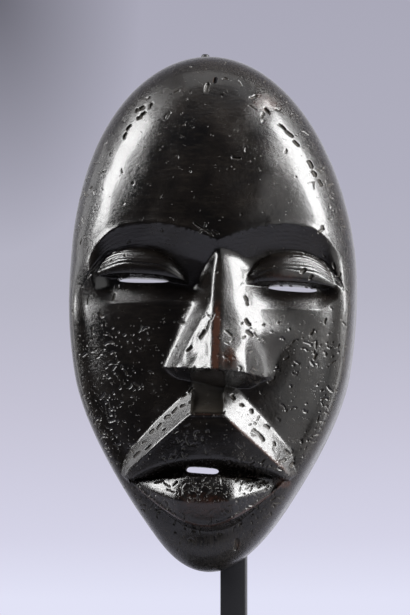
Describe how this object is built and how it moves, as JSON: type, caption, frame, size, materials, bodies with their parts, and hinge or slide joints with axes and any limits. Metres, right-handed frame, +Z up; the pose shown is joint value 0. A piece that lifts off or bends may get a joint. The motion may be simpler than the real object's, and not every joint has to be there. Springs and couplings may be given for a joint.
{
  "type": "carved mask on stand",
  "caption": "Oval carved wooden face mask, hollow behind, with slit eyes and full lips, standing on a square steel post and plate.",
  "frame": {"origin": "on the underside of the foot plate, below the axis of the square post", "axes": "+Z up along the post, the mask's face looks along -Y, +X to the right of someone who looks at the face"},
  "size_m": [0.1369, 0.1295, 0.322],
  "materials": {
    "wood_patina": "dense carved wood under a thick, glossy, near-black oiled patina, brown where it has worn",
    "black_steel": "bar and plate steel, painted satin black"
  },
  "bodies": {
    "root": {"mask": "wood_patina", "stand_post": "black_steel", "stand_foot": "black_steel"}
  },
  "joints": []
}
